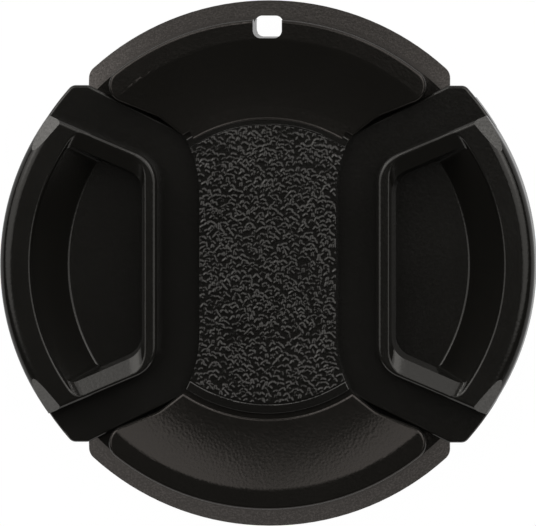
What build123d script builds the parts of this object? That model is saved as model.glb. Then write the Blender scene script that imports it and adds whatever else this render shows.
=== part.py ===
# Centre-pinch lens cap for a 58 mm filter thread, lying on its rear with the front up.
# X runs across the two pinch levers, Y towards the tether eye, Z from the lens to the front.
# The origin is on the lens axis, in the plane of the rear rim. Millimetres throughout.
import os
from math import cos, radians, sin, tan

from build123d import *

# Fit in the lens
lens_thread_d = 58.0
plug_clearance = 0.8
plug_wall = 1.6
plug_depth = 3.4
plug_lead = 0.4
flange_overhang = 1.4
ledge_w = 0.8
thread_pitch = 0.75
thread_height = 0.7
thread_crest = 0.15
thread_turns = 3

# Thicknesses and heights
back_recess = 1.0
back_plate_t = 1.2
flange_t = 2.0
flange_fall = 1.5
lever_plate_t = 1.0
bridge_t = 0.8
panel_t = 0.7
panel_recess = 0.25
land_rise = 0.9
rim_proud = 1.0
pocket_depth = 4.5
pocket_floor_t = 1.2
slide_gap = 0.3
runner_gap = 0.2

# Hourglass front, in plan: its points lie at an angle from X, on radii set off from the scoop's inner edge
wing_tip_angle = 56.73
wing_tip_inset = 0.25
flare_out = 1.68
flare_h = 6.63
knee_angle = 53.45
knee_out = 3.41
knee_r = 4.0
wing_side_angle = 21.5
wing_corner_r = 2.0
wing_step = 0.1
land_w = 2.1
land_edge_r = 0.35
land_blend_w = 0.35
scoop_w = 8.45
panel_groove = 0.5
panel_border = 1.1
panel_edge_r = 0.15
flange_end_angle = 46.6
flange_end_r = 1.5

# Tether eye
eye_w = 3.35
eye_h = 2.5
eye_corner_r = 0.9
eye_inset = 0.9
eye_wall = 1.0

# Pinch levers, in plan, for the right-hand one at rest
travel = 2.5
lever_plate_proud = 0.3
lever_corner_angle = 44.72
lever_corner_inset = 1.4
lever_corner_r = 1.0
lever_edge_r = 0.3
lever_side_angle = 26.0
tongue_lap = 1.32
rim_proud_side = 0.5
rim_shift = 1.6
rim_set_off = 4.77
rim_below_knee = 5.05
rim_angle = 22.8
rim_corner_r = 3.8
rim_round = 1.4
rim_edge_r = 0.5
mouth_edge_r = 0.3
facet_w = 1.65
facet_direction = 41.0
facet_slope = 35.0
skirt_gap = 0.1
skirt_wall = 1.4
skirt_set_back = 1.4

# Finger pocket: rim widths at the mouth, the slope's run to the floor, and the centres of the outer arcs
pocket_angle = 23.5
mouth_inner_w = 1.71
mouth_side_w = 1.75
mouth_outer_w = 4.55
mouth_arc_x = 2.4
mouth_drop = 0.7
wall_draft = 0.3
slope_run = 2.35
floor_arc_x = 0.8
mouth_flare = 1.9
mouth_bevel = 0.2
pocket_inner_r = 2.6
pocket_outer_r = 1.2
floor_outer_r = 0.8
shell_t = 1.2
hollow_half_angle = 28.0

# Thread lugs behind the levers
lug_shift = 0.65
lug_half_angle = 32.0
lug_rise = 0.4
lug_root = 0.2

# Springs, runners, rails and stops
spring_z = 3.95
spring_d = 3.0
wire_d = 0.4
spring_turns = 6
seat_gap = 0.05
seat_t = 1.4
seat_w = 3.8
seat_lap = 0.4
peg_d = 1.8
peg_length = 1.6
runner_t = 1.0
runner_set_back = 2.5
ear_length = 1.6
ear_w = 1.8
ear_margin = 0.27
rail_t = 1.0
rail_h = 1.5
rail_gap = 0.25
rail_set_back = 1.5

# Stakes that hold the back plate
stake_angle = 65.66
stake_inset = 3.55
stake_d = 2.0
stake_shoulder_d = 3.6
stake_head_d = 3.6
stake_head_h = 0.55
stake_head_r = 0.4
stake_fit = 0.15
plate_fit = 0.3

# Radii that follow from the fit
plug_r = lens_thread_d / 2 - plug_clearance
plug_inner_r = plug_r - plug_wall
ridge_r = plug_r + thread_height
flange_r = lens_thread_d / 2 + flange_overhang
land_outer_r = plug_r + wing_step
land_inner_r = land_outer_r - land_w
scoop_inner_r = land_inner_r - scoop_w
panel_r = scoop_inner_r - panel_groove
back_plate_r = plug_inner_r - plate_fit
lever_plate_r = flange_r + lever_plate_proud
rim_r = flange_r + rim_proud_side - rim_shift
mouth_arc_r = rim_r - mouth_outer_w
floor_arc_r = mouth_arc_r - slope_run

# Levels that follow from the thicknesses
back_plate_top = back_recess + back_plate_t
seat_z = plug_depth
flange_top = seat_z + flange_t
lever_z = flange_top + slide_gap
lever_top = lever_z + lever_plate_t
crown_z = lever_top + slide_gap
bridge_top = crown_z + bridge_t
panel_top = bridge_top + panel_t
land_z = panel_top + land_rise
rim_top = land_z + rim_proud
mouth_z = rim_top - mouth_drop
floor_z = rim_top - pocket_depth
tub_z = floor_z - pocket_floor_t
skirt_z = seat_z + skirt_gap
runner_z = back_plate_top + runner_gap

# A length that is longer than the whole cap, for outlines that are cut back afterwards, and a tiny one
beyond = 2 * flange_r
tiny = 0.001


def along(start, angle, x):
    """Point at the given X on a line that leaves start at an angle to the X axis."""
    return (x, start[1] + (x - start[0]) * tan(radians(angle)))


def polar(radius, angle):
    """Point on a circle about the lens axis, at an angle to the X axis."""
    return (radius * cos(radians(angle)), radius * sin(radians(angle)))


# Points of the hourglass, the flange's ends and the tether eye
wing_tip = polar(scoop_inner_r - wing_tip_inset, wing_tip_angle)
wing_knee = polar(scoop_inner_r + knee_out, knee_angle)
bridge_half_w = wing_tip[0] - flare_out
flare_start_y = wing_tip[1] - flare_h
flange_end_x = polar(flange_r, flange_end_angle)[0]
eye_y = land_outer_r - eye_inset

# Points of the right lever: plate corner, tongue under the bridge, rim, pocket, runners and springs
lever_corner = polar(lever_plate_r - lever_corner_inset, lever_corner_angle)
tongue_x = bridge_half_w - tongue_lap
tongue_y = along(lever_corner, lever_side_angle, tongue_x)[1]
rim_inner_x = bridge_half_w + rim_set_off
rim_corner_y = wing_knee[1] - rim_below_knee
mouth_inner_x = rim_inner_x + mouth_inner_w
mouth_corner_y = rim_corner_y - mouth_side_w
runner_y = tongue_y - ear_margin - ear_w - runner_t / 2
runner_end_x = floor_arc_x + floor_arc_r - runner_set_back
rail_end_x = runner_end_x - rail_set_back
spring_y = runner_y - runner_t / 2 + seat_lap - seat_w / 2

# Centres of the four stakes in the wings, and how a stake's cylinders sit on their places
stake_x, stake_y = polar(plug_inner_r - stake_inset, stake_angle)
stake_places = [(x, y) for x in (-stake_x, stake_x) for y in (-stake_y, stake_y)]
standing = (Align.CENTER, Align.CENTER, Align.MIN)
hanging = (Align.CENTER, Align.CENTER, Align.MAX)


def turned(centre_x, angle):
    """Upright plane through a vertical axis at X = centre_x, turned by an angle from the XZ plane."""
    direction = Vector(cos(radians(angle)), sin(radians(angle)), 0)
    return Plane(origin=(centre_x, 0, 0), x_dir=direction, z_dir=direction.cross(Vector(0, 0, 1)))


def hourglass(outer_r, corner_r):
    """Plan of the bridge and the two wings out to a radius, with rounded wing corners."""
    far = along(wing_knee, wing_side_angle, beyond)
    with BuildSketch() as plan:
        with BuildLine():
            side = Line((bridge_half_w, 0), (bridge_half_w, flare_start_y))
            flare = TangentArc(side @ 1, wing_tip, tangent=side % 1)
            Polyline(flare @ 1, wing_knee, far, (beyond, beyond), (0, beyond), (0, 0), side @ 0)
        make_face()
        knee = plan.vertices().sort_by_distance(wing_knee)[0]
        fillet(knee, knee_r)
        mirror(about=Plane.YZ)
        mirror(about=Plane.XZ)
        Circle(outer_r, mode=Mode.INTERSECT)
        if corner_r > 0:
            corners = [v for v in plan.vertices() if v.center().length > outer_r - tiny]
            fillet(corners, corner_r)
    return plan.sketch


def lever_plate(inward):
    """Plan of the right lever's base plate, drawn out inward along its travel."""
    corner_x, half_h = lever_corner
    with BuildSketch() as plan:
        with BuildLine():
            Polyline(
                (tongue_x - inward, 0),
                (tongue_x - inward, tongue_y),
                (corner_x - inward, half_h),
                (beyond, half_h),
                (beyond, 0),
                close=True,
            )
        make_face()
        mirror(about=Plane.XZ)
        Circle(lever_plate_r, mode=Mode.INTERSECT)
    return plan.sketch


def d_shape(inner_x, corner_y, angle, arc_r, arc_x, inner_r, outer_r):
    """D-shaped plan: straight inner side, two sloping sides and an outer arc, with rounded corners."""
    far = along((inner_x, corner_y), angle, beyond)
    with BuildSketch() as plan:
        Polygon((inner_x, -corner_y), (far[0], -far[1]), far, (inner_x, corner_y), align=None)
        with Locations((arc_x, 0)):
            Circle(arc_r, mode=Mode.INTERSECT)
        fillet(plan.vertices().group_by(Axis.X)[0], inner_r)
        if outer_r > 0:
            fillet(plan.vertices().group_by(Axis.X)[-1], outer_r)
    return plan.sketch


# Rim: flange on the lens, plug arcs inside its thread, and a ledge over the edge of the back plate
with BuildPart() as rim:
    with BuildSketch(Plane.XZ) as rim_section:
        with BuildLine():
            Polyline(
                (plug_inner_r, 0),
                (plug_r - plug_lead, 0),
                (plug_r, plug_lead),
                (plug_r, seat_z),
                (flange_r, seat_z),
                (flange_r, flange_top - flange_fall),
                (land_outer_r, flange_top),
                (plug_inner_r - ledge_w, flange_top),
                (plug_inner_r - ledge_w, seat_z),
                (plug_inner_r, seat_z),
                close=True,
            )
        make_face()
    revolve(axis=Axis.Z)
    with BuildSketch() as rim_plan:
        add(hourglass(flange_r, 0))
        Rectangle(2 * flange_end_x, beyond, mode=Mode.INTERSECT)
        outer_ends = [v for v in rim_plan.vertices() if v.center().length > flange_r - tiny]
        fillet(outer_ends, flange_end_r)
    extrude(amount=flange_top, mode=Mode.INTERSECT)

# Front cover: the scoop bends up to a point on the chord to the land, and bends back level from there
scoop_end = (land_inner_r - land_blend_w, land_z - land_rise * land_blend_w / scoop_w)
with BuildPart() as front_cover:
    with BuildSketch(Plane.XZ):
        with BuildLine():
            Polyline(
                (0, bridge_top),
                (0, crown_z),
                (plug_inner_r, crown_z),
                (plug_inner_r, seat_z),
                (land_outer_r, seat_z),
                (land_outer_r, land_z),
                (land_inner_r, land_z),
            )
            scoop = TangentArc((scoop_inner_r, panel_top), scoop_end, tangent=(1, 0))
            TangentArc(scoop @ 1, (land_inner_r, land_z), tangent=scoop % 1)
            Polyline((scoop_inner_r, panel_top), (scoop_inner_r, bridge_top), (0, bridge_top))
        make_face()
    revolve(axis=Axis.Z)
    with BuildSketch(Plane.XY.offset(seat_z)):
        add(hourglass(land_outer_r, wing_corner_r))
    extrude(amount=land_z - seat_z, mode=Mode.INTERSECT)
    wing_edges = front_cover.edges().filter_by(lambda e: e.center().Z > panel_top - tiny)
    round_edges = wing_edges.filter_by(GeomType.CIRCLE)
    blend_edges = round_edges.filter_by(lambda e: scoop_inner_r + tiny < e.radius < land_outer_r - tiny)
    fillet(wing_edges - blend_edges, land_edge_r)
    add(rim.part)
    with BuildSketch(Plane.XY.offset(flange_top)):
        add(lever_plate(travel))
        offset(amount=slide_gap)
        mirror(about=Plane.YZ)
    extrude(amount=crown_z - flange_top, mode=Mode.SUBTRACT)
    with BuildSketch(Plane.XY.offset(back_recess)):
        with Locations((0, eye_y)):
            RectangleRounded(eye_w + 2 * eye_wall, eye_h + 2 * eye_wall, eye_corner_r + eye_wall)
        Circle(plug_r, mode=Mode.INTERSECT)
    extrude(amount=bridge_top - back_recess)
    with BuildSketch() as eye:
        with Locations((0, eye_y)):
            RectangleRounded(eye_w, eye_h, eye_corner_r)
    extrude(amount=flange_top, mode=Mode.SUBTRACT)
    with BuildSketch(Plane.XY.offset(flange_top)):
        add(eye.sketch)
        with Locations((0, eye_y)):
            Rectangle(eye_w, eye_h, align=(Align.CENTER, Align.MIN))
    extrude(amount=rim_top - flange_top, mode=Mode.SUBTRACT)
    with Locations((0, 0), *stake_places):
        with Locations((0, 0, back_plate_top)):
            Cylinder(stake_shoulder_d / 2, crown_z - back_plate_top, align=standing)
        with Locations((0, 0, back_recess)):
            Cylinder(stake_d / 2, back_plate_t, align=standing)
            Cylinder(stake_head_d / 2, stake_head_h, align=hanging)
    head_z = back_recess - stake_head_h
    fillet(front_cover.edges().filter_by(lambda e: abs(e.center().Z - head_z) < tiny), stake_head_r)
front_cover.part.label = "front_cover"

# Centre panel
with BuildPart() as centre_panel:
    with BuildSketch(Plane.XY.offset(bridge_top)):
        add(hourglass(panel_r, 0))
    extrude(amount=panel_t)
    with BuildSketch(Plane.XY.offset(panel_top)):
        Circle(panel_r - panel_border)
    extrude(amount=-panel_recess, mode=Mode.SUBTRACT)
    fillet(centre_panel.edges().group_by(Axis.Z)[-1], panel_edge_r)
centre_panel.part.label = "centre_panel"

# Right lever: raised rim round the finger pocket, on a base plate that slides under the front cover
rim_outline = d_shape(rim_inner_x, rim_corner_y, rim_angle, rim_r, rim_shift, rim_corner_r, 0)
rim_corner = rim_outline.vertices().group_by(Axis.X)[-1].sort_by(Axis.Y)[-1]
floor_outline = d_shape(
    mouth_inner_x + wall_draft,
    mouth_corner_y - wall_draft,
    pocket_angle,
    floor_arc_r,
    floor_arc_x,
    pocket_inner_r,
    floor_outer_r,
)
mouth_outline = d_shape(
    mouth_inner_x, mouth_corner_y, pocket_angle, mouth_arc_r, mouth_arc_x, pocket_inner_r, pocket_outer_r
)
flare_outline = d_shape(
    mouth_inner_x - mouth_bevel,
    mouth_corner_y + mouth_flare,
    pocket_angle,
    mouth_arc_r + mouth_bevel,
    mouth_arc_x,
    pocket_inner_r,
    pocket_outer_r,
)
slope_foot = Vector(floor_arc_x + floor_arc_r, floor_z)
slope_head = Vector(mouth_arc_x + mouth_arc_r, mouth_z)
slope_normal = (slope_head - slope_foot).normalized().rotate(Axis.Z, -90)
hollow_foot = slope_foot + slope_normal * shell_t - Vector(rim_shift, 0)
hollow_head = slope_head + slope_normal * shell_t - Vector(rim_shift, 0)
hollow_r = rim_r - skirt_wall
skirt_end_y = lever_corner[1] - skirt_set_back
ridge_z = skirt_z - thread_turns * thread_pitch

with BuildPart() as base_plate:
    with BuildSketch(Plane.XY.offset(lever_z)) as base:
        add(lever_plate(0))
        fillet(base.vertices().group_by(Axis.Y)[0] + base.vertices().group_by(Axis.Y)[-1], lever_corner_r)
    extrude(amount=lever_plate_t)
    fillet(base_plate.edges().group_by(Axis.Z)[-1], lever_edge_r)

with BuildPart() as right_lever:
    with BuildSketch(Plane.XY.offset(tub_z)):
        add(rim_outline)
    extrude(amount=rim_top - tub_z)
    outer_edge = right_lever.edges().group_by(Axis.Z)[-1].sort_by(Axis.X)[-1]
    fillet(outer_edge, rim_round)
    for side in (-1, 1):
        outward = Vector(cos(radians(facet_direction)), side * sin(radians(facet_direction)), 0)
        facet_normal = outward * sin(radians(facet_slope)) + Vector(0, 0, cos(radians(facet_slope)))
        facet_start = Vector(rim_corner.X, side * rim_corner.Y, rim_top) - outward * facet_w
        split(bisect_by=Plane(origin=facet_start, z_dir=facet_normal), keep=Keep.BOTTOM)
    top_edges = right_lever.edges().group_by(Axis.Z)[-1]
    fillet(top_edges.filter_by(lambda e: e.center().X < rim_corner.X - facet_w), rim_edge_r)
    add(base_plate.part)
    with BuildSketch(turned(rim_shift, -hollow_half_angle)):
        Polygon(
            (hollow_foot.X, skirt_z),
            (hollow_r, skirt_z),
            (hollow_r, hollow_head.Y),
            (hollow_head.X, hollow_head.Y),
            (hollow_foot.X, hollow_foot.Y),
            align=None,
        )
    hollow_axis = Axis((rim_shift, 0, 0), (0, 0, 1))
    revolve(axis=hollow_axis, revolution_arc=2 * hollow_half_angle, mode=Mode.SUBTRACT)
    with BuildSketch(Plane.XY.offset(skirt_z)):
        add(rim_outline)
        with Locations((rim_shift, 0)):
            Circle(hollow_r, mode=Mode.SUBTRACT)
    extrude(amount=tub_z - skirt_z)
    with BuildSketch(Plane.XY.offset(skirt_z)):
        with Locations((0, skirt_end_y)):
            Rectangle(beyond, skirt_end_y - rim_corner.Y + skirt_wall, align=(Align.MIN, Align.MAX))
        mirror(about=Plane.XZ)
        Circle(lever_plate_r, mode=Mode.INTERSECT)
        Circle(lever_plate_r - skirt_wall, mode=Mode.SUBTRACT)
    extrude(amount=lever_z - skirt_z)
    with BuildSketch(Plane.XY.offset(floor_z)):
        add(floor_outline)
    with BuildSketch(Plane.XY.offset(mouth_z)):
        add(mouth_outline)
    with BuildSketch(Plane.XY.offset(rim_top)) as mouth:
        add(flare_outline)
    loft(ruled=True, mode=Mode.SUBTRACT)
    mouth_line = mouth.sketch.wire()
    fillet(right_lever.edges().filter_by(lambda e: mouth_line.distance_to(e @ 0.5) < tiny), mouth_edge_r)
    with BuildSketch(turned(lug_shift, -lug_half_angle)):
        with BuildLine():
            Polyline(
                (plug_r, ridge_z),
                (plug_r, lug_rise),
                (plug_inner_r, lug_rise),
                (plug_inner_r, hollow_head.Y + lug_root),
                (plug_r, hollow_head.Y + lug_root),
                (plug_r, skirt_z),
            )
            for turn in range(thread_turns):
                foot = ridge_z + turn * thread_pitch
                Polyline(
                    (plug_r, foot),
                    (ridge_r, foot + (thread_pitch - thread_crest) / 2),
                    (ridge_r, foot + (thread_pitch + thread_crest) / 2),
                    (plug_r, foot + thread_pitch),
                )
        make_face()
    revolve(axis=Axis((lug_shift, 0, 0), (0, 0, 1)), revolution_arc=2 * lug_half_angle)
    for side in (-1, 1):
        with BuildSketch(Plane.XY.offset(runner_z)):
            with Locations((tongue_x, side * runner_y)):
                Rectangle(runner_end_x - tongue_x, runner_t, align=(Align.MIN, Align.CENTER))
            with Locations((tongue_x, side * (runner_y + (runner_t + ear_w) / 2))):
                Rectangle(ear_length, ear_w, align=(Align.MIN, Align.CENTER))
            with Locations((tongue_x, side * spring_y)):
                Rectangle(seat_t, seat_w, align=(Align.MIN, Align.CENTER))
        extrude(amount=lever_z - runner_z)
        with BuildSketch(Plane(origin=(tongue_x, side * spring_y, spring_z), z_dir=(-1, 0, 0))):
            Circle(peg_d / 2)
        extrude(amount=peg_length)
right_lever.part.label = "right_lever"

# Left lever
with BuildPart() as left_lever:
    mirror(right_lever.part, about=Plane.YZ)
left_lever.part.label = "left_lever"

# Back plate
notch_half_h = ridge_r * sin(radians(lug_half_angle)) + plate_fit
stop_x = tongue_x - travel - seat_gap
rail_start_x = tongue_x + ear_length + seat_gap
rail_y = runner_y + (runner_t + rail_t) / 2 + rail_gap
eye_notch = 2 * (eye_wall + plate_fit)
with BuildPart() as back_plate:
    with BuildSketch(Plane.XY.offset(back_recess)):
        Rectangle(beyond, 2 * notch_half_h)
        for lug_x in (lug_shift - travel, travel - lug_shift):
            with Locations((lug_x, 0)):
                Circle(back_plate_r, mode=Mode.INTERSECT)
        with BuildSketch():
            Circle(back_plate_r)
            Rectangle(beyond, 2 * notch_half_h, mode=Mode.SUBTRACT)
        with Locations((0, eye_y)):
            Rectangle(eye_w + eye_notch, eye_h + eye_notch, mode=Mode.SUBTRACT)
        with Locations((0, 0), *stake_places):
            Circle(stake_d / 2 + stake_fit, mode=Mode.SUBTRACT)
    extrude(amount=back_plate_t)
    with BuildSketch(Plane.XY.offset(back_plate_top)):
        for side in (-1, 1):
            with Locations((0, side * (runner_y + (runner_t + ear_w) / 2))):
                Rectangle(2 * stop_x, ear_w)
            with Locations((rail_start_x, side * rail_y), (-rail_end_x, side * rail_y)):
                Rectangle(rail_end_x - rail_start_x, rail_t, align=(Align.MIN, Align.CENTER))
    extrude(amount=rail_h)
back_plate.part.label = "back_plate"

# Springs
spring_length = 2 * (tongue_x - seat_gap)
coil_r = (spring_d - wire_d) / 2
springs = []
for name, y in (("upper_spring", spring_y), ("lower_spring", -spring_y)):
    with BuildPart() as spring:
        with BuildLine() as coil:
            Helix(
                pitch=(spring_length - wire_d) / spring_turns,
                height=spring_length - wire_d,
                radius=coil_r,
                center=((wire_d - spring_length) / 2, y, spring_z),
                direction=(1, 0, 0),
            )
        with BuildSketch(Plane(origin=coil.line @ 0, z_dir=coil.line % 0)):
            Circle(wire_d / 2)
        sweep(is_frenet=True)
    spring.part.label = name
    springs.append(spring)

os.makedirs("parts", exist_ok=True)
for piece in (front_cover, centre_panel, left_lever, right_lever, back_plate, *springs):
    export_step(piece.part, f"parts/{piece.part.label}.step")
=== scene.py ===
import math
import random

import bmesh
import bpy
from mathutils import Matrix, Vector, geometry, noise
from mathutils.kdtree import KDTree


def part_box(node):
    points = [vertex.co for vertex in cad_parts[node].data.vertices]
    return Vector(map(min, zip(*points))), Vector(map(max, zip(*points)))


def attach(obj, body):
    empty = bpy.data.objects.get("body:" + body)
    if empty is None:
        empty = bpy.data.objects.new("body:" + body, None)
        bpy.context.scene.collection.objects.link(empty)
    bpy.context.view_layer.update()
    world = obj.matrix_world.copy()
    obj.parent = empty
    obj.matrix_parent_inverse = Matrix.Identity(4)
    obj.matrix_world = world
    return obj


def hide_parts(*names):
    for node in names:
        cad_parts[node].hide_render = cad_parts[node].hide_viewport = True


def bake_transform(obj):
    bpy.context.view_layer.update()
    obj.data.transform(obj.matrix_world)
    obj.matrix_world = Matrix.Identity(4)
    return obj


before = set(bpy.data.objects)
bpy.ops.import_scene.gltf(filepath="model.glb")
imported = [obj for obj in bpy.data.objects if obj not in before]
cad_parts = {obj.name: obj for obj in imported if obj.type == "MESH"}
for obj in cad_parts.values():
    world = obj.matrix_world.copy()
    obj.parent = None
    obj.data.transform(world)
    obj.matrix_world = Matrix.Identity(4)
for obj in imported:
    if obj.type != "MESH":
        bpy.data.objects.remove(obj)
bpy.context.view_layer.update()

# Millimetres, in the frame's metres
mm = 0.001

# Picture: the width it covers, the camera's distance, its lean from the lens axis in degrees, and its target
view_w = 61.97 * mm
camera_distance = 2.5
camera_lean_x = 2.8
camera_lean_y = 2.0
camera_target = Vector((-0.155 * mm, 0.03 * mm, 4.4 * mm))
sensor_w = 36.0


class Wire:
    """Output socket of a shader node. Arithmetic on it adds Math nodes."""

    def __init__(self, tree, socket):
        self.tree = tree
        self.socket = socket

    def combine(self, operation, left, right):
        node = self.tree.nodes.new("ShaderNodeMath")
        node.operation = operation
        for end, value in zip(node.inputs, (left, right)):
            connect(self.tree, end, value)
        return Wire(self.tree, node.outputs[0])

    def __add__(self, other):
        return self.combine("ADD", self, other)

    def __radd__(self, other):
        return self.combine("ADD", other, self)

    def __sub__(self, other):
        return self.combine("SUBTRACT", self, other)

    def __rsub__(self, other):
        return self.combine("SUBTRACT", other, self)

    def __mul__(self, other):
        return self.combine("MULTIPLY", self, other)

    def __rmul__(self, other):
        return self.combine("MULTIPLY", other, self)


def connect(tree, end, value):
    """Links a wire to a node's input, or sets the input to a plain value."""
    if isinstance(value, Wire):
        tree.links.new(value.socket, end)
    else:
        end.default_value = value


class Nodes:
    """Node tree of a material or the world, with one method for every node that arithmetic doesn't add."""

    def __init__(self, owner):
        owner.use_nodes = True
        self.tree = owner.node_tree
        self.tree.nodes.clear()

    def add(self, kind, settings=None, sockets=None, output=0):
        """Adds a node: its settings first, then its sockets by name or number."""
        node = self.tree.nodes.new("ShaderNode" + kind)
        for name, value in (settings or {}).items():
            setattr(node, name, value)
        for place, value in (sockets or {}).items():
            connect(self.tree, node.inputs[place], value)
        return Wire(self.tree, node.outputs[output]) if node.outputs else None

    def noise(self, place, scale, detail, roughness=0.5):
        """Noise from 0 to 1 whose main features are one over scale apart."""
        sockets = {"Vector": place, "Scale": scale, "Detail": detail, "Roughness": roughness}
        return self.add("TexNoise", {}, sockets)

    def step(self, value, low, high):
        """Smooth step from 0 at low to 1 at high."""
        sockets = {"Value": value, "From Min": low, "From Max": high, "To Min": 0.0, "To Max": 1.0}
        return self.add("MapRange", {"interpolation_type": "SMOOTHSTEP"}, sockets)

    def blend(self, factor, first, second):
        """Colour that goes from first to second with the factor."""
        sockets = {0: factor, 6: (*first, 1.0), 7: (*second, 1.0)}
        return self.add("Mix", {"data_type": "RGBA"}, sockets, 2)


# Moulded plastic: size of the clouds in its colour, spread of its gloss, and the shiny flecks of the flange
cloud_size = 9 * mm
gloss_spread = 0.06
fleck_size = 0.20 * mm
fleck_fade = 0.3 * mm
fleck_start = 0.48
fleck_full = 0.62
fleck_shine = 0.5
fleck_gloss = 0.2


def moulded_plastic(name, dark, light, sheen, shine, gloss, grain_size, grain_depth, flecked_from=0.0):
    """Black moulded plastic: clouded colour, uneven gloss, and the soft spark-eroded grain of the mould.

    Past the radius flecked_from, if one is given, small flecks are shinier than the rest."""
    material = bpy.data.materials.new(name)
    nodes = Nodes(material)
    place = nodes.add("TexCoord", output="Object")
    cloud = nodes.noise(place, 1 / cloud_size, 2.0)
    grain = nodes.noise(place, 1 / grain_size, 0.0)
    height = nodes.add("Bump", {}, {"Strength": 1.0, "Distance": grain_depth, "Height": grain})
    finish = {
        "Base Color": nodes.blend(cloud, dark, light),
        "Roughness": gloss + (cloud - 0.5) * gloss_spread + (grain - 0.5) * gloss_spread,
        "Specular IOR Level": shine,
        "Specular Tint": (*sheen, 1.0),
        "Normal": height,
    }
    if flecked_from:
        flat = nodes.add("Mapping", {}, {"Vector": place, "Scale": (1.0, 1.0, 0.0)})
        radius = nodes.add("VectorMath", {"operation": "LENGTH"}, {0: flat}, 1)
        outside = nodes.step(radius, flecked_from, flecked_from + fleck_fade)
        fleck = nodes.step(nodes.noise(place, 1 / fleck_size, 1.0), fleck_start, fleck_full)
        finish["Coat Weight"] = fleck_shine * outside * fleck
        finish["Coat Roughness"] = fleck_gloss
        finish["Coat Tint"] = (*sheen, 1.0)
    shade = nodes.add("BsdfPrincipled", {}, finish)
    nodes.add("OutputMaterial", {}, {"Surface": shade})
    return material


# Drawn wire: size, depth and gloss of its streaks
streak_size = 0.06 * mm
streak_depth = 0.002 * mm
streak_gloss = 0.2


def drawn_wire(name, dark, light, gloss):
    """Bright steel wire with fine streaks."""
    material = bpy.data.materials.new(name)
    nodes = Nodes(material)
    place = nodes.add("TexCoord", output="Object")
    streak = nodes.noise(place, 1 / streak_size, 2.0)
    height = nodes.add("Bump", {}, {"Strength": 0.5, "Distance": streak_depth, "Height": streak})
    shade = nodes.add(
        "BsdfPrincipled",
        {},
        {
            "Base Color": nodes.blend(streak, dark, light),
            "Metallic": 1.0,
            "Roughness": gloss + (streak - 0.5) * streak_gloss,
            "Normal": height,
        },
    )
    nodes.add("OutputMaterial", {}, {"Surface": shade})
    return material


def dress(node, material):
    """Puts a material on every slot of a CAD node."""
    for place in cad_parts[node].material_slots:
        place.material = material


# Edges sharper than this, in degrees, stay crisp on a smooth-shaded piece
crisp_edge = 50


def make_piece(name, shape, material):
    """Turns a finished bmesh into a smooth-shaded piece."""
    mesh = bpy.data.meshes.new(name)
    shape.to_mesh(mesh)
    shape.free()
    mesh.materials.append(material)
    piece = bpy.data.objects.new(name, mesh)
    bpy.context.scene.collection.objects.link(piece)
    mesh.shade_smooth()
    mesh.set_sharp_from_angle(angle=math.radians(crisp_edge))
    return piece


# Finishes
black = (0.0068, 0.0064, 0.0055)
soft_black = (0.0080, 0.0075, 0.0064)
deep_black = (0.0042, 0.0040, 0.0035)
plate_black = (0.0120, 0.0113, 0.0098)
warm = (1.0, 0.90, 0.83)
plain = (1.0, 0.97, 0.92)
steel_dark = (0.42, 0.42, 0.43)
steel_light = (0.62, 0.62, 0.63)
cover_plastic = moulded_plastic(
    "cover_plastic",
    black,
    soft_black,
    sheen=warm,
    shine=0.5,
    gloss=0.19,
    grain_size=0.30 * mm,
    grain_depth=0.010 * mm,
    flecked_from=28.5 * mm,
)
lever_plastic = moulded_plastic(
    "lever_plastic",
    black,
    soft_black,
    sheen=plain,
    shine=0.5,
    gloss=0.19,
    grain_size=0.30 * mm,
    grain_depth=0.007 * mm,
)
panel_plastic = moulded_plastic(
    "panel_plastic",
    deep_black,
    black,
    sheen=plain,
    shine=0.70,
    gloss=0.17,
    grain_size=0.14 * mm,
    grain_depth=0.003 * mm,
)
plate_plastic = moulded_plastic(
    "plate_plastic",
    soft_black,
    plate_black,
    sheen=plain,
    shine=0.5,
    gloss=0.40,
    grain_size=0.35 * mm,
    grain_depth=0.020 * mm,
)
spring_steel = drawn_wire("spring_steel", steel_dark, steel_light, gloss=0.30)
dress("front_cover", cover_plastic)
dress("left_lever", lever_plastic)
dress("right_lever", lever_plastic)
dress("centre_panel", panel_plastic)
dress("back_plate", plate_plastic)

# Leather grain on the centre panel: the recess it fills, and the grid that it is raised from
panel_half_w = 7.92 * mm
flare_start = 8.0 * mm
flare_r = 13.92 * mm
grain_r = 16.1 * mm
grain_gap = 0.05 * mm
grain_cell = 0.078 * mm
grain_sink = 0.14 * mm
recess_depth = 0.25 * mm
fit_rounds = 8

# Its wrinkles: size, crest, and how far past their width the middles of stretches are looked for
wrinkle_w = 0.19 * mm
wrinkle_h = 0.088 * mm
wrinkle_crest = 0.01
wrinkle_search = 0.32 * mm

# Their scatter: least gap, slants and bends in degrees, stretches in millimetres, and patches of lower ones
scatter_seed = 11
scatter_tries = 26000
scatter_half_w = 9.3 * mm
wrinkle_gap = 0.49 * mm
wrinkle_slants = (48, 132)
slant_spread = 26
wrinkle_bends = (60, 110)
stretch_counts = (1, 1, 1, 2, 2, 3)
stretch_lengths = (0.22, 0.40)
height_range = (0.35, 1.0)
patch_level = 0.9
patch_depth = 0.5
patch_scale = 420


def panel_side(y):
    """Half the width of the grain at a distance from the middle of the panel."""
    past = max(abs(y) - flare_start, 0.0)
    return panel_half_w + flare_r - math.sqrt(flare_r**2 - past**2) - grain_gap


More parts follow.
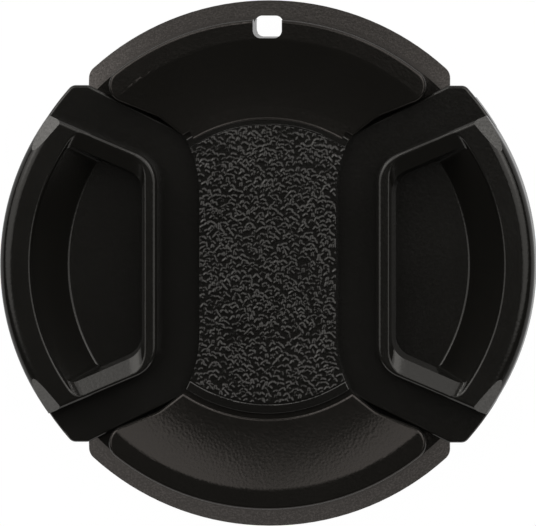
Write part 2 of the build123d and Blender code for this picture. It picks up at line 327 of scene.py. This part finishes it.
def draw_wrinkles():
    """Short bent lines, evenly scattered: the ends of each stretch, with its height."""
    chance = random.Random(scatter_seed)
    stretches = []
    near = {}
    for _ in range(scatter_tries):
        spot = Vector((chance.uniform(-1, 1) * scatter_half_w, chance.uniform(-1, 1) * grain_r, 0))
        cell = (int(spot.x // wrinkle_gap), int(spot.y // wrinkle_gap))
        beside = [near.get((cell[0] + i, cell[1] + j), []) for i in (-1, 0, 1) for j in (-1, 0, 1)]
        if any((spot - other).length < wrinkle_gap for group in beside for other in group):
            continue
        near.setdefault(cell, []).append(spot)
        heading = chance.choice(wrinkle_slants) + chance.gauss(0, slant_spread)
        patch = min(1.0, patch_level + patch_depth * noise.noise(spot * patch_scale))
        height = chance.uniform(*height_range) * patch
        count = chance.choice(stretch_counts)
        bend = chance.choice((-1, 1)) * chance.uniform(*wrinkle_bends)
        for _ in range(count):
            length = chance.uniform(*stretch_lengths) * mm
            turn = math.radians(heading)
            end = spot + Vector((math.cos(turn), math.sin(turn), 0)) * length
            stretches.append((spot, end, height))
            spot = end
            heading += bend
            bend = -bend
    return stretches


def grain_height(tree, stretches, spot):
    """Height of the highest wrinkle over a spot, from 0 to 1."""
    best = 0.0
    for _, index, _ in tree.find_range(spot, wrinkle_w + wrinkle_search):
        start, end, height = stretches[index]
        _, share = geometry.intersect_point_line(spot, start, end)
        foot = start.lerp(end, min(max(share, 0.0), 1.0))
        away = (spot - foot).length / wrinkle_w
        best = max(best, height * (1.0 - math.sqrt(away**2 + wrinkle_crest)))
    return best


def leather_grain():
    """Grid fitted to the panel's recess, raised into wrinkles, with walls down to the recess floor."""
    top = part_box("centre_panel")[1].z
    shape = bmesh.new()
    columns = int(2 * panel_half_w / grain_cell)
    rows = int(2 * grain_r / grain_cell)
    bmesh.ops.create_grid(shape, x_segments=columns, y_segments=rows, size=1.0)
    stretches = draw_wrinkles()
    tree = KDTree(len(stretches))
    for index, (start, end, _) in enumerate(stretches):
        tree.insert((start + end) / 2, index)
    tree.balance()
    for corner in shape.verts:
        across, along = corner.co.x, corner.co.y
        spot = Vector((0, along * grain_r, 0))
        for _ in range(fit_rounds):
            spot.x = across * panel_side(spot.y)
            spot.y = along * math.sqrt(grain_r**2 - spot.x**2)
        rise = 0.0 if corner.is_boundary else grain_height(tree, stretches, spot)
        corner.co = (spot.x, spot.y, top - grain_sink + wrinkle_h * rise)
    rim = [edge for edge in shape.edges if edge.is_boundary]
    walls = bmesh.ops.extrude_edge_only(shape, edges=rim)["geom"]
    feet = [part for part in walls if isinstance(part, bmesh.types.BMVert)]
    for foot in feet:
        foot.co.z = top - recess_depth
    floor_rim = [part for part in walls if isinstance(part, bmesh.types.BMEdge)]
    bmesh.ops.contextual_create(shape, geom=floor_rim)
    bmesh.ops.recalc_face_normals(shape, faces=shape.faces)
    return shape


panel_grain = make_piece("panel_grain", leather_grain(), panel_plastic)
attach(panel_grain, "cap_body")

# Spun pieces: steps along each arc, and how far they reach below what carries them
spin_steps = 96
foot_sink = 0.1 * mm


def spun_profile(points, centre, heading, half_angle):
    """Profile of (out, up) points, spun about an upright axis, by half_angle to each side of a heading."""
    shape = bmesh.new()
    start = Matrix.Rotation(math.radians(heading - half_angle), 3, "Z")
    corners = [shape.verts.new(centre + start @ Vector((out, 0, up))) for out, up in points]
    profile = shape.faces.new(corners)
    bmesh.ops.spin(
        shape,
        geom=[profile, *profile.edges, *profile.verts],
        cent=centre,
        axis=(0, 0, 1),
        angle=math.radians(2 * half_angle),
        steps=spin_steps,
    )
    bmesh.ops.recalc_face_normals(shape, faces=shape.faces)
    return shape


# Beaded lip of the upper wing, which covers the joint above the panel
lip_inner_r = 16.72 * mm
lip_outer_r = 18.4 * mm
lip_h = 0.06 * mm
bead_r = 0.13 * mm
bead_steps = 8
bead_step_angle = 20
bead_foot_w = 2.3 * bead_r
lip_half_angle = 30.5


def upper_lip():
    """Thin crescent with a half-round inner edge."""
    points = [(lip_inner_r, -foot_sink)]
    for part in range(bead_steps):
        turn = math.radians(180 - bead_step_angle * part)
        points.append((lip_inner_r + bead_r + bead_r * math.cos(turn), bead_r * math.sin(turn)))
    points.append((lip_inner_r + 2 * bead_r, lip_h))
    points.append((lip_inner_r + bead_foot_w, lip_h))
    points.append((lip_outer_r, lip_h))
    points.append((lip_outer_r, -foot_sink))
    centre = Vector((0, 0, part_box("centre_panel")[1].z))
    return spun_profile(points, centre, heading=90, half_angle=lip_half_angle)


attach(make_piece("upper_lip", upper_lip(), cover_plastic), "cap_body")

# Rounded edge between each pocket's floor and its slope
floor_arc_x = 0.8 * mm
floor_arc_r = 22.4 * mm
floor_z = 5.9 * mm
slope_angle = 45
cove_r = 0.6 * mm
cove_sink = 0.01 * mm
cove_steps = 8
cove_half_angle = 33


def cove(side):
    """Concave fillet along the foot of a pocket's slope, on the left for side -1 and on the right for 1."""
    reach = cove_r * math.tan(math.radians(slope_angle / 2))
    points = []
    for part in range(cove_steps + 1):
        turn = math.radians(slope_angle * part / cove_steps)
        points.append((floor_arc_r - reach + cove_r * math.sin(turn), cove_r * (1 - math.cos(turn))))
    points.append((floor_arc_r + reach, -foot_sink))
    points.append((floor_arc_r - reach, -foot_sink))
    centre = Vector((side * floor_arc_x, 0, floor_z - cove_sink))
    return spun_profile(points, centre, heading=90 - 90 * side, half_angle=cove_half_angle)


for name, side, body in (("left_cove", -1, "left_pinch"), ("right_cove", 1, "right_pinch")):
    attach(make_piece(name, cove(side), lever_plastic), body)

# Springs between the levers, in halves that meet on the lens axis, each half named after one lever
wire_r = 0.2 * mm
wire_sides = 12
half_turns = 3
steps_per_turn = 28


def spring_half(node, side):
    """Half a coil spring, from the middle of the cap to one end: a ring spun along the spring's axis."""
    low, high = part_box(node)
    middle = (low + high) / 2
    coil_r = (high.y - low.y) / 2 - wire_r
    length = (high.x - low.x) / 2 - wire_r
    steps = half_turns * steps_per_turn
    shape = bmesh.new()
    start = Matrix.Translation(middle + Vector((0, coil_r, 0)))
    bmesh.ops.create_circle(shape, segments=wire_sides, radius=wire_r, matrix=start)
    bmesh.ops.spin(
        shape,
        geom=[*shape.edges, *shape.verts],
        cent=middle,
        axis=(1, 0, 0),
        dvec=(side * length / steps, 0, 0),
        angle=side * half_turns * 2 * math.pi,
        steps=steps,
    )
    bmesh.ops.holes_fill(shape, edges=[edge for edge in shape.edges if edge.is_boundary])
    bmesh.ops.recalc_face_normals(shape, faces=shape.faces)
    return shape, middle, length


for node in ("upper_spring", "lower_spring"):
    for side, body in ((-1, "left_pinch"), (1, "right_pinch")):
        shape, middle, length = spring_half(node, side)
        half = make_piece(f"{node}_{body}", shape, spring_steel)
        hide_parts(node)
        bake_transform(half)

# Camera
sideways = math.tan(math.radians(camera_lean_x))
upwards = math.tan(math.radians(camera_lean_y))
lean = Vector((sideways, upwards, 1.0)).normalized()
across = Vector((0, 1, 0)).cross(lean).normalized()
upward = lean.cross(across)
camera_data = bpy.data.cameras.new("camera")
camera_data.sensor_fit = "HORIZONTAL"
camera_data.sensor_width = sensor_w
camera_data.lens = sensor_w * camera_distance / view_w
camera_data.clip_start = 0.01
camera_data.clip_end = 20.0
camera = bpy.data.objects.new("camera", camera_data)
turn = Matrix((across, upward, lean)).transposed().to_4x4()
camera.matrix_world = Matrix.Translation(camera_target + lean * camera_distance) @ turn
bpy.context.scene.collection.objects.link(camera)
bpy.context.scene.camera = camera

# Floor: white to the camera, with a faint shadow, paler grey in gloss than to soft light
floor_half_w = 3.0
floor_drop = 0.02 * mm
floor_grey = 0.2
floor_glow = 1.1
glow_seen = 0.9
glow_in_gloss = 0.5
white = (1.0, 1.0, 1.0, 1.0)
floor_shape = bmesh.new()
bmesh.ops.create_grid(floor_shape, x_segments=1, y_segments=1, size=floor_half_w)
floor_mesh = bpy.data.meshes.new("floor")
floor_shape.to_mesh(floor_mesh)
floor_shape.free()
floor = bpy.data.objects.new("floor", floor_mesh)
bpy.context.scene.collection.objects.link(floor)
floor_paint = bpy.data.materials.new("floor_paint")
floor_nodes = Nodes(floor_paint)
seen = floor_nodes.add("LightPath", output="Is Camera Ray")
glossy = floor_nodes.add("LightPath", output="Is Glossy Ray")
passed = floor_nodes.add("LightPath", output="Is Transmission Ray")
matt = floor_nodes.add("BsdfDiffuse", {}, {"Color": (floor_grey, floor_grey, floor_grey, 1.0)})
glow = floor_nodes.add("Emission", {}, {"Color": white, "Strength": floor_glow})
share = glow_seen * seen + glow_in_gloss * (glossy + passed)
mixed = floor_nodes.add("MixShader", {}, {0: share, 1: matt, 2: glow})
floor_nodes.add("OutputMaterial", {}, {"Surface": mixed})
floor_mesh.materials.append(floor_paint)
floor_mesh.transform(Matrix.Translation((0, 0, -floor_drop)))

# World: white to the camera, and to other rays white low down fore and aft and dim elsewhere
dim_sky = 0.015
pale_sky = 0.99
low_sky = (0.30, 0.50)
end_sky = (0.15, 0.50)
world = bpy.data.worlds.new("studio")
bpy.context.scene.world = world
sky = Nodes(world)
toward = sky.add("TexCoord", output="Generated")
rise = sky.add("SeparateXYZ", {}, {"Vector": toward}, "Z")
depth = sky.add("SeparateXYZ", {}, {"Vector": toward}, "Y")
low = 1.0 - sky.step(rise, *low_sky)
fore_and_aft = sky.step(depth * depth, *end_sky)
seen = sky.add("LightPath", output="Is Camera Ray")
glow = dim_sky + pale_sky * low * fore_and_aft
level = sky.add("Math", {"operation": "MAXIMUM"}, {0: glow, 1: seen})
light = sky.add("Background", {}, {"Color": white, "Strength": level})
sky.add("OutputWorld", {}, {"Surface": light})

# Lamps: name, azimuth and slant from overhead in degrees, half the angle each one fills, and radiance
lamp_distance = 0.8
lamps = (
    # Two broad soft lamps beyond the top corners of the picture, each with a brighter core
    ("left_lamp", 149, 44, 32, 1.02),
    ("right_lamp", 36, 37, 32, 1.00),
    ("left_core", 144, 46, 14, 1.3),
    ("right_core", 36, 46, 14, 1.3),
    # Two small lamps between them, for glints along the edges
    ("left_edge_lamp", 113.5, 53, 5, 3.5),
    ("right_edge_lamp", 66.5, 53, 5, 3.5),
    # Fill overhead
    ("fill", 0, 0, 32, 0.25),
    # Small lamps low at the corners
    ("top_left_lamp", 145, 71, 5, 3.6),
    ("top_right_lamp", 37, 67, 5, 2.4),
    ("bottom_left_lamp", 218, 73, 5, 1.7),
    ("bottom_right_lamp", 319, 69, 5, 1.9),
)


def add_lamp(name, azimuth, slant, spread, radiance):
    """Round area lamp that faces the cap and no camera sees."""
    light = bpy.data.lights.new(name, "AREA")
    light.shape = "DISK"
    radius = lamp_distance * math.tan(math.radians(spread))
    light.size = 2 * radius
    light.energy = radiance * (math.pi * radius) ** 2
    holder = bpy.data.objects.new(name, light)
    flat = math.sin(math.radians(slant))
    spot = Vector((math.cos(math.radians(azimuth)) * flat, math.sin(math.radians(azimuth)) * flat, 0))
    spot.z = math.cos(math.radians(slant))
    holder.location = spot * lamp_distance
    holder.rotation_euler = (-spot).to_track_quat("-Z", "Y").to_euler()
    holder.visible_camera = False
    bpy.context.scene.collection.objects.link(holder)


for row in lamps:
    add_lamp(*row)

# The fill shows in no gloss
bpy.data.objects["fill"].visible_glossy = False

bpy.context.scene.view_settings.view_transform = "Standard"
